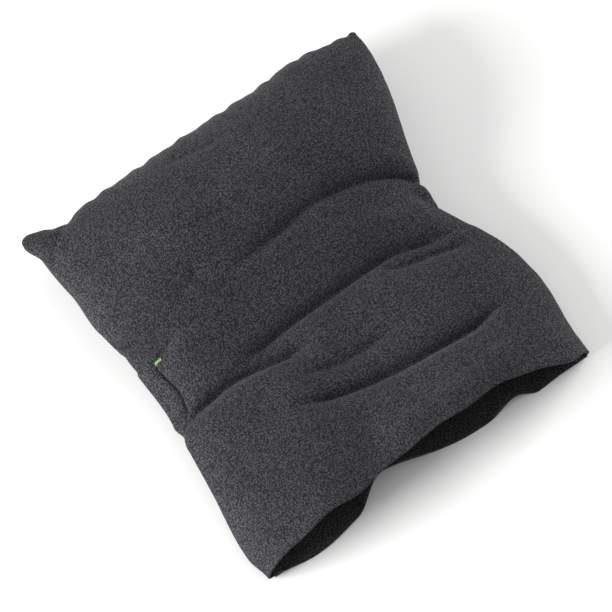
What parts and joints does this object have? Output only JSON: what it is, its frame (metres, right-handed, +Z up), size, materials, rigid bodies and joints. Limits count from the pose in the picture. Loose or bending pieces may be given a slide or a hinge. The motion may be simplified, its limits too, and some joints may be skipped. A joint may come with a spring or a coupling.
{
  "type": "camp pillow",
  "caption": "Soft fleece camp pillow: a stuffed head half with two ear corners, and an open sleeve half that lies slightly collapsed.",
  "frame": {"origin": "on the floor under the middle of the pillow's bounding box", "axes": "+X to the right across the pillow when seen from its mouth, +Y from the mouth to the head seam, +Z up from the floor it lies on"},
  "size_m": [0.364, 0.38, 0.0936],
  "materials": {
    "fleece": "matt pebbled polar fleece, charcoal grey, both sides alike",
    "seam_allowance": "two cut edges of the fleece, overlocked together",
    "bartack_thread": "dense bright green polyester stitches",
    "ticking": "plain light grey woven polyester",
    "fibre_fill": "white polyester fibre"
  },
  "bodies": {
    "root": {"top_panel": "fleece", "base_panel": "fleece", "left_seam": "seam_allowance", "right_seam": "seam_allowance", "head_seam": "seam_allowance", "left_bartack": "bartack_thread", "right_bartack": "bartack_thread", "cushion_top": "ticking", "cushion_base": "ticking", "cushion_fill": "fibre_fill", "cushion_tail_hem": "ticking"}
  },
  "joints": []
}
